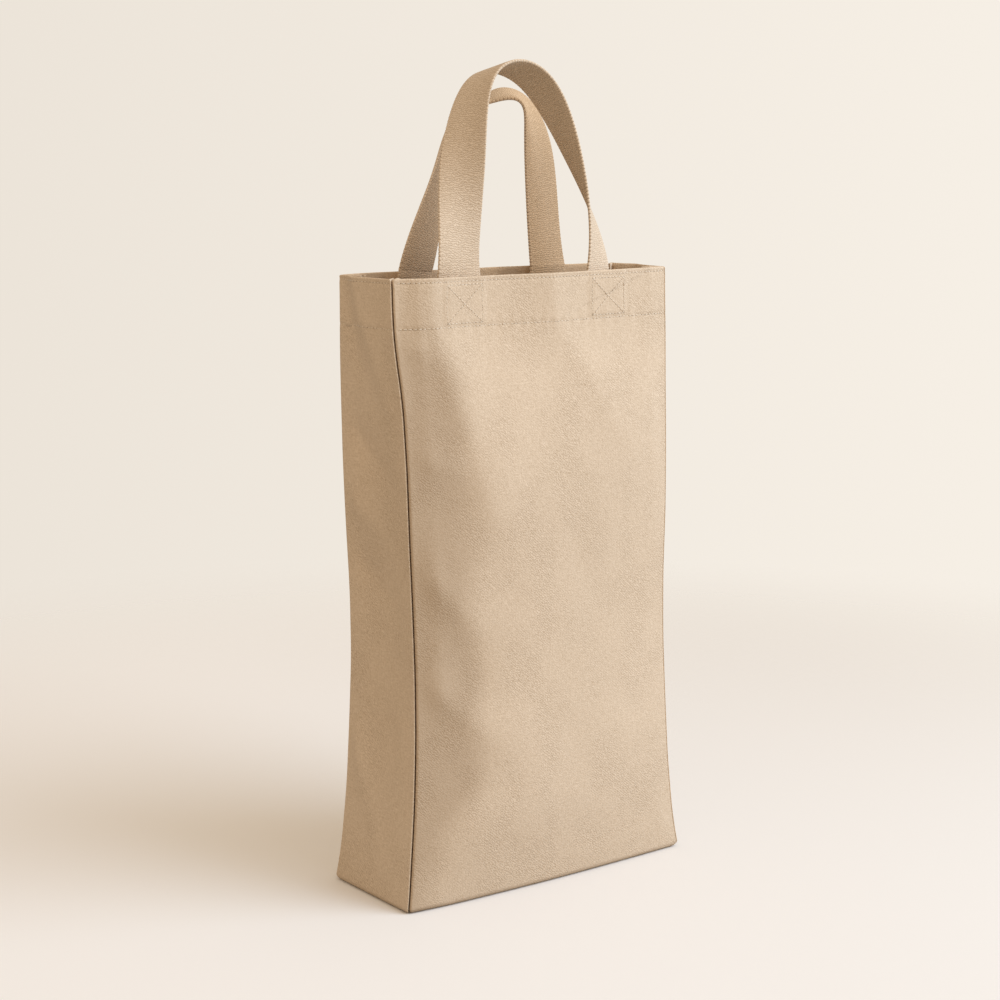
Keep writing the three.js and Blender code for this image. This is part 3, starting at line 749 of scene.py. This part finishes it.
def webbing_finish():
    """Plain-woven webbing: fine wavy ribs across it, uneven yarns, and a paler looped edge. The hollows
    between the ribs and the gaps between the edge's loops are darkened as painted shade."""
    finish = Finish("beige_webbing")
    place, across, along = finish.flat_cloth()
    weft = finish.grain(place, (210, 1000, 0), 2.0)
    warp = finish.grain(place, (1000, 150, 0), 2.0)
    fleck = finish.grain(place, (880, 880, 0), 3.0)
    cloud = finish.grain(place, (430, 330, 0), 1.5)
    broad = finish.grain(place, (30, 14, 0), 2.0)
    ribs = (along * (2 * np.pi / RIB_PITCH) + cloud * 12.0 + fleck * 2.0).sine()
    edge = across.size().between(13.2 * mm, 14.6 * mm)
    loop = (along * (np.pi / SELVEDGE_LOOP) + cloud * 1.2).sine().size()
    inner = 1 - edge
    tone = 0.5 + 0.22 * ribs * inner + 0.8 * (weft - 0.5) + 0.6 * (warp - 0.5) + 0.9 * (fleck - 0.5)
    tone = tone + 0.6 * (broad - 0.5) + 0.25 * edge
    cloth = finish.blend(tone, CLOTH_DEEP, CLOTH_PALE)
    # Painted shade in the gaps between the edge's loops
    gap_shade = edge * (1 - loop.between(0.1, 0.5)) * 0.6
    # Painted shade in the hollows between the ribs
    dark = (0.0 - ribs).between(0.2, 1.0) * inner * 0.3
    shaded = finish.blend(dark, cloth, CLOTH_PAINTED_SHADE)
    height = 0.6 * ribs * inner + 1.2 * edge * loop + 0.8 * weft + 0.5 * warp + 0.9 * fleck
    finish.surface(
        Base_Color=finish.blend(gap_shade, shaded, SELVEDGE_GAP_SHADE),
        Roughness=0.84 + 0.12 * fleck,
        Normal=finish.relief(height, 0.13 * mm),
        Specular_IOR_Level=0.15,
        Sheen_Weight=0.05,
        Sheen_Roughness=0.5,
    )
    return finish.material


webbing = webbing_finish()
for side, handle in HANDLES.items():
    strap = make_piece(f"{side}_handle_webbing", *close_tube(*webbing_grid(handle)), webbing)
    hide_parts(f"{side}_handle_loop", f"{side}_handle_left_tab", f"{side}_handle_right_tab")
    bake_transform(strap)

# Stitching
# Rows of pale cotton thread: two right round the hem, a crossed box over each sewn handle end, and the closed
# seams inside. Each stitch is a short bead of thread that dives into the cloth at both ends.
STITCH_PITCH = 2.7 * mm
STITCH_LENGTH = 2.25 * mm
STITCH_WIDTH = 0.62 * mm
STITCH_HEIGHT = 0.42 * mm
HOLE_RADIUS = 0.3 * mm
HOLE_LIFT = 0.05 * mm
THREAD_SIDES = 6
THREAD_DEEP = linear(224, 205, 181)
THREAD_PALE = linear(248, 236, 220)
# Colours of the painted shade of the needle holes
HOLE_SHADE_DEEP = linear(118, 90, 62)
HOLE_SHADE_PALE = linear(164, 136, 106)


def thread_finish():
    """Pale twisted thread: a slanting ply along each stitch and a little change of tone."""
    finish = Finish("pale_thread")
    place, across, along = finish.flat_cloth()
    ply = ((across * 1.2 + along) * (2 * np.pi / (0.5 * mm))).sine()
    tone = 0.5 + 0.3 * ply + 0.8 * (finish.grain(place, (260, 260, 0), 2.0) - 0.5)
    finish.surface(
        Base_Color=finish.blend(tone, THREAD_DEEP, THREAD_PALE),
        Roughness=0.7 + 0.1 * ply,
        Normal=finish.relief(ply, 0.05 * mm),
        Specular_IOR_Level=0.25,
    )
    return finish.material


def hole_shade_finish():
    """Painted shade of a needle hole: a dark disc that lies on the cloth at the end of a stitch."""
    finish = Finish("needle_hole_shade")
    fleck = finish.grain(finish.flat_cloth()[0], (900, 900, 0), 2.0)
    finish.surface(Base_Color=finish.blend(fleck, HOLE_SHADE_DEEP, HOLE_SHADE_PALE), Roughness=0.95 - 0.1 * fleck)
    return finish.material


thread = thread_finish()
needle_hole_shade = hole_shade_finish()


def stitch_bead():
    """One stitch along X: rings of an ellipse that shrinks to both ends as a circle does, sunk at its ends."""
    share = np.array([-0.96, -0.7, 0.0, 0.7, 0.96])
    around = np.linspace(0, 2 * np.pi, THREAD_SIDES, endpoint=False)
    size = np.sqrt(1 - share ** 2)
    x = STITCH_LENGTH / 2 * share[:, None] + 0 * around
    y = STITCH_WIDTH / 2 * size[:, None] * np.cos(around)
    z = STITCH_HEIGHT * (0.2 + 0.5 * size[:, None] * np.sin(around) - 0.45 * share[:, None] ** 2)
    return np.stack([x, y, z], axis=-1)


def row_of_stitches(name, middles, runs, outs, node):
    """Carries one stitch to each middle point, along its run and standing out of the cloth, with a dark disc
    of painted shade for the needle hole at its end, and joins them all into one piece."""
    runs = runs / np.linalg.norm(runs, axis=1, keepdims=True)
    sides = np.cross(outs, runs)
    sides = sides / np.linalg.norm(sides, axis=1, keepdims=True)
    outs = np.cross(runs, sides)

    def carry(shape):
        """Copies of a small shape, one for each stitch."""
        local = shape.reshape(1, -1, 3)
        return (middles[:, None] + runs[:, None] * local[..., :1] + sides[:, None] * local[..., 1:2]
                + outs[:, None] * local[..., 2:])

    bead = stitch_bead()
    rings = bead.shape[0]
    number = np.arange(rings * THREAD_SIDES).reshape(rings, THREAD_SIDES)
    after = np.roll(number, -1, axis=1)
    walls = np.stack([number[:-1], number[1:], after[1:], after[:-1]], axis=-1).reshape(-1, 4)
    caps = np.stack([number[0], number[-1][::-1]])
    around = np.linspace(0, 2 * np.pi, THREAD_SIDES, endpoint=False)
    # A dark disc just over the cloth, painted shade for the needle hole
    hole = np.stack([HOLE_RADIUS * np.cos(around) + STITCH_PITCH / 2, 0.85 * HOLE_RADIUS * np.sin(around),
                     0 * around + HOLE_LIFT], axis=-1)
    count = len(middles)
    first = np.arange(count)[:, None, None] * number.size
    holes = count * number.size + np.arange(count * THREAD_SIDES).reshape(count, THREAD_SIDES)
    groups = [(walls + first).reshape(-1, 4), (caps + first).reshape(-1, THREAD_SIDES), holes]
    vertices = np.concatenate([carry(bead).reshape(-1, 3), carry(hole).reshape(-1, 3)])
    bead_flat = np.stack([bead[..., 1].ravel(), bead[..., 0].ravel()], axis=-1)
    shift = np.stack([np.arange(count) * 7.3 * mm, np.arange(count) * 3.1 * mm], axis=-1)
    hole_flat = np.repeat(shift, THREAD_SIDES, axis=0)
    flat = np.concatenate([(bead_flat[None] + shift[:, None]).reshape(-1, 2), hole_flat])
    piece = make_piece(name, vertices, groups, flat, thread)
    piece.data.materials.append(needle_hole_shade)
    kind = np.zeros(len(piece.data.polygons), dtype=np.int32)
    kind[-count:] = 1
    piece.data.polygons.foreach_set("material_index", kind)
    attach(piece, "bag")
    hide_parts(node)


def sewn_line(wall, start, end):
    """Middle, run and outward direction of each stitch on a straight line over a wall's face."""
    length = np.hypot(end[0] - start[0], end[1] - start[1])
    count = max(int(round(length / STITCH_PITCH)), 1)
    share = (np.arange(count) + 0.5) / count
    along = start[0] + (end[0] - start[0]) * share
    z = start[1] + (end[1] - start[1]) * share
    small = 0.3 * mm
    step_x = (end[0] - start[0]) / length * small
    step_z = (end[1] - start[1]) / length * small
    middle = outer_face(wall, along, z)
    run = outer_face(wall, along + step_x, z + step_z) - outer_face(wall, along - step_x, z - step_z)
    over = outer_face(wall, along + small, z) - outer_face(wall, along - small, z)
    up = outer_face(wall, along, z + small) - outer_face(wall, along, z - small)
    out = np.cross(over, up)
    out = out / np.linalg.norm(out, axis=1, keepdims=True)
    return middle, run, out


def join_rows(rows):
    """Puts several lines of stitches end to end."""
    return [np.concatenate(parts) for parts in zip(*rows)]


ROW_END_GAP = 3.2 * mm
for name, z in (("hem_top", TOP_ROW), ("hem_lower", LOWER_ROW)):
    rows = []
    for wall in WALLS.values():
        half = wall["length"](np.array(z)) / 2 - ROW_END_GAP
        rows.append(sewn_line(wall, (-half, z), (half, z)))
    row_of_stitches(f"{name}_stitching", *join_rows(rows), f"{name}_stitch")

for side, handle in HANDLES.items():
    for hand, foot in zip(("left", "right"), handle["feet"]):
        middle = -handle["faces"] * (foot - HEM_DRIFT)
        half = WEBBING_WIDTH / 2 - BOX_MARGIN
        corners = [(middle - half, BOX_LOW), (middle + half, BOX_LOW),
                   (middle + half, BOX_HIGH), (middle - half, BOX_HIGH)]
        sides = list(zip(corners, corners[1:] + corners[:1]))
        cross = [(corners[0], corners[2]), (corners[1], corners[3])]
        rows = [sewn_line(handle["wall"], start, end) for start, end in sides + cross]
        row_of_stitches(f"{side}_{hand}_box_stitching", *join_rows(rows), f"{side}_{hand}_box_stitch")

# Closed seams: thread on the allowances inside the four upright edges, and on the base's turned-up edge
SEAM_THREAD_INSET = 5 * mm
SEAM_THREAD_START = 16 * mm


def on_allowance(wall, sign, height):
    """Place on the inner face of a gusset's seam allowance, which runs in at 45 degrees from the corner."""
    inward = GUSSET_ROLL_RADIUS * (1 + np.sqrt(2)) / 2 + SEAM_THREAD_INSET / np.sqrt(2)
    lift = (CLOTH + 0.1 * mm) / np.sqrt(2)
    along = sign * (wall["length"](height) / 2 - SEAM_GAP - inward - lift)
    return sack_point(wall, along, wall["reach"](height) / 2 - inward + lift, height)


for face, hand, sign in (("front", "left", 1), ("back", "left", -1),
                         ("front", "right", -1), ("back", "right", 1)):
    wall = WALLS[hand]
    z = np.arange(SEAM_THREAD_START, HEM_LINE - 2 * mm, STITCH_PITCH)
    runs = on_allowance(wall, sign, z + mm) - on_allowance(wall, sign, z - mm)
    cos, sin = np.cos(wall["turn"]), np.sin(wall["turn"])
    out = np.array([sin - sign * cos, -cos - sign * sin, 0.0]) / np.sqrt(2)
    row_of_stitches(f"{face}_{hand}_seam_stitching", on_allowance(wall, sign, z), runs,
                    np.tile(out, (z.size, 1)), f"{face}_{hand}_seam_stitch")

BASE_THREAD_HEIGHT = 5 * mm
drawn = FOOT_ROLL_RADIUS + FOOT_SEAM_RADIUS + 2 * CLOTH + BASE_CLEARANCE
rows = []
for wall in WALLS.values():
    half = wall["length"](0.0) / 2 - drawn - 2 * mm
    count = int(2 * half / STITCH_PITCH)
    along = np.linspace(-half, half, count)
    bow = BASE_BOW * (1 - (along / half) ** 2) if wall["bow"] is panel_bow else 0 * along
    level = np.full(count, BASE_THREAD_HEIGHT)
    middle = sack_point(wall, along, wall["reach"](0.0) / 2 - drawn + bow, level)
    out = sack_point(wall, 0 * along, -np.ones(count), 0 * along)
    rows.append((middle, sack_point(wall, np.ones(count), 0 * along, 0 * along), out))
row_of_stitches("base_seam_stitching", *join_rows(rows), "base_seam_stitch")

# Studio
# A wide pale floor that fades into a cream background, soft cool lamps from the front right, and a warm light
# from all round that is stronger from above and in front. The background is painted a little darker on the
# left, as painted shade where the light falls off. It is no part of the bag.
# Background colours: darker on the left as painted shade, lighter on the right
CREAM_LEFT = linear(236, 228, 217)
CREAM_RIGHT = linear(246, 239, 229)
# The floor is painted lighter on the left, as painted light where the soft box falls off
FLOOR_LEFT = linear(243, 241, 240)
FLOOR_RIGHT = linear(232, 229, 226)
FLOOR_BOUNCE = linear(178, 170, 160)
VIEW_RIGHT = (0.802, -0.597, 0.0)
FLOOR_RADIUS = 3.0


def floor_disc():
    """A flat disc of rings from the middle outwards, as a grid of angle and radius."""
    angle = np.linspace(0, 2 * np.pi, 97)[:-1]
    radius = np.concatenate([np.linspace(0.02, 1.0, 20), np.linspace(1.2, FLOOR_RADIUS, 8)])
    points = np.stack([radius[:, None] * np.cos(angle), radius[:, None] * np.sin(angle),
                       0 * radius[:, None] + 0 * angle], axis=-1)
    flat = points[..., :2]
    number = np.arange(radius.size * angle.size).reshape(radius.size, angle.size)
    after = np.roll(number, -1, axis=1)
    rings = np.stack([number[:-1], number[1:], after[1:], after[:-1]], axis=-1).reshape(-1, 4)
    return points, [rings, number[:1]], flat


def floor_finish():
    """Matt cream floor that turns clear towards its rim, so that it meets the background without an edge. It
    is painted lighter on the left, as painted light that makes up for the soft box's light falling off there."""
    finish = Finish("cream_floor")
    place, across, along = finish.flat_cloth()
    far = (across ** 2 + along ** 2).between(0.34 ** 2, 1.0 ** 2)
    sideways = (across * VIEW_RIGHT[0] + along * VIEW_RIGHT[1]).between(-0.35, 0.35)
    seen = finish.node("ShaderNodeLightPath", {}, {}, "Is Camera Ray")
    cream = finish.blend(seen, FLOOR_BOUNCE, finish.blend(sideways, FLOOR_LEFT, FLOOR_RIGHT))
    finish.surface(Base_Color=cream, Roughness=0.95, Specular_IOR_Level=0.0)
    clear = finish.node("ShaderNodeBsdfTransparent", {}, {})
    lit = Shade(finish, finish.shader.outputs[0])
    mixed = finish.node("ShaderNodeMixShader", {}, {0: far, 1: lit, 2: clear})
    finish.tree.links.new(mixed.socket, finish.tree.nodes["Material Output"].inputs["Surface"])
    return finish.material


floor = make_piece("studio_floor", *floor_disc(), floor_finish())

AMBIENT_ABOVE = (0.89, 0.735, 0.56, 1.0)
AMBIENT_BELOW = (0.40, 0.33, 0.25, 1.0)
AMBIENT_FROM = (-0.15, -0.45, 0.88)
BACKDROP_SPREAD = 0.22
world = bpy.data.worlds.new("studio")
scene.world = world
world.use_nodes = True
world.node_tree.nodes.clear()
sky = Nodes(world.node_tree)


def facing(towards, low, high):
    """Even rise from 0 to 1 of the dot product of the view's direction and another one."""
    direction = sky.node("ShaderNodeTexCoord", {}, {}, "Generated")
    settings = {"operation": "DOT_PRODUCT"}
    product = sky.node("ShaderNodeVectorMath", settings, {0: direction, 1: towards}, "Value")
    return sky.node("ShaderNodeMapRange", {}, {"Value": product, "From Min": low, "From Max": high})


warm = sky.blend(facing(AMBIENT_FROM, -0.3, 1.0), AMBIENT_BELOW, AMBIENT_ABOVE)
cream = sky.blend(facing(VIEW_RIGHT, -BACKDROP_SPREAD, BACKDROP_SPREAD), CREAM_LEFT, CREAM_RIGHT)
ambient = sky.node("ShaderNodeBackground", {}, {"Color": warm})
backdrop = sky.node("ShaderNodeBackground", {}, {"Color": cream})
seen = sky.node("ShaderNodeLightPath", {}, {}, "Is Camera Ray")
mixed = sky.node("ShaderNodeMixShader", {}, {0: seen, 1: ambient, 2: backdrop})
output = sky.tree.nodes.new("ShaderNodeOutputWorld")
sky.feed(output.inputs["Surface"], mixed)

KEY_COLOUR = (0.69, 0.835, 1.0)
SUN_ANGLE = np.radians(48)
SOFT_BOX_AIM = (0.0, 0.0, 0.22)
SOFT_BOX_SIZE = 1.1
SOFT_BOX_POWER = 14.2
SOFT_BOX_PLACE = (0.62, -0.88, 1.15)
SIDE_BOX_PLACE = (0.95, -0.62, 0.78)
BACK_LIGHT_COLOUR = (1.0, 0.88, 0.71)
BACK_LIGHT_ANGLE = np.radians(12)


def add_lamp(name, kind, place, towards, strength, colour):
    """Puts a lamp at a place, with its back to a direction."""
    lamp = bpy.data.lights.new(name, kind)
    lamp.energy = strength
    lamp.color = colour
    made = bpy.data.objects.new(name, lamp)
    scene.collection.objects.link(made)
    towards = np.array(towards) / np.linalg.norm(towards)
    made.location = place
    made.rotation_euler = (np.arccos(towards[2]), 0, np.arctan2(towards[0], -towards[1]))
    return made


def add_sun(name, place, towards, strength, angle, colour):
    """Puts a far lamp of a given width in the sky."""
    made = add_lamp(name, "SUN", place, towards, strength, colour)
    made.data.angle = angle
    return made


def add_box(name, place):
    """Puts a square soft box at a place, aimed at the middle of the bag."""
    made = add_lamp(name, "AREA", place, np.subtract(place, SOFT_BOX_AIM), SOFT_BOX_POWER, KEY_COLOUR)
    made.data.size = SOFT_BOX_SIZE
    return made


add_sun("window", (1.0, -2.3, 1.9), (0.32, -0.735, 0.60), 0.61, SUN_ANGLE, KEY_COLOUR)
soft_box = add_box("soft_box", SOFT_BOX_PLACE)
side_box = add_box("side_box", SIDE_BOX_PLACE)
back_light = add_sun("back_light", (2.0, -1.1, 1.4), (0.86, -0.34, 0.38), 1.2,
                     BACK_LIGHT_ANGLE, BACK_LIGHT_COLOUR)
rear_light = add_sun("rear_light", (0.3, 2.2, 1.4), (0.15, 0.85, 0.5), 1.5, SUN_ANGLE, KEY_COLOUR)

# Each of these lamps lights only some pieces. The soft box lights the floor alone, for its shadow. The side
# box lights everything but the floor and the back handle and panel, and grazes the folds. The back handle
# and panel have a narrow warm light from the right, and the back panel and the hem's rows one from behind.
BACK_PIECES = ("back_handle_webbing", "back_panel_cloth")
REAR_PIECES = ("back_panel_cloth", "hem_top_stitching", "hem_lower_stitching")
for lamp, state, names in ((soft_box, "INCLUDE", ("studio_floor",)),
                           (side_box, "EXCLUDE", ("studio_floor", *BACK_PIECES)),
                           (back_light, "INCLUDE", BACK_PIECES), (rear_light, "INCLUDE", REAR_PIECES)):
    linked = bpy.data.collections.new(f"{lamp.name}_linking")
    lamp.light_linking.receiver_collection = linked
    for name in names:
        linked.objects.link(bpy.data.objects[name])
    for entry in linked.collection_objects:
        entry.light_linking.link_state = state

# Camera
# The photograph's viewpoint, from the front left and a little above the handles' feet, with a long lens.
# Nothing is out of focus.
CAMERA_PLACE = (-0.7761, -1.0330, 0.4494)
CAMERA_YAW = np.radians(36.65)
CAMERA_PITCH = np.radians(9.62)
camera_data = bpy.data.cameras.new("camera")
camera_data.sensor_width = 36.0
camera_data.lens = 77.4
camera = bpy.data.objects.new("camera", camera_data)
scene.collection.objects.link(camera)
camera.location = CAMERA_PLACE
camera.rotation_euler = (np.pi / 2 - CAMERA_PITCH, 0, -CAMERA_YAW)
scene.camera = camera
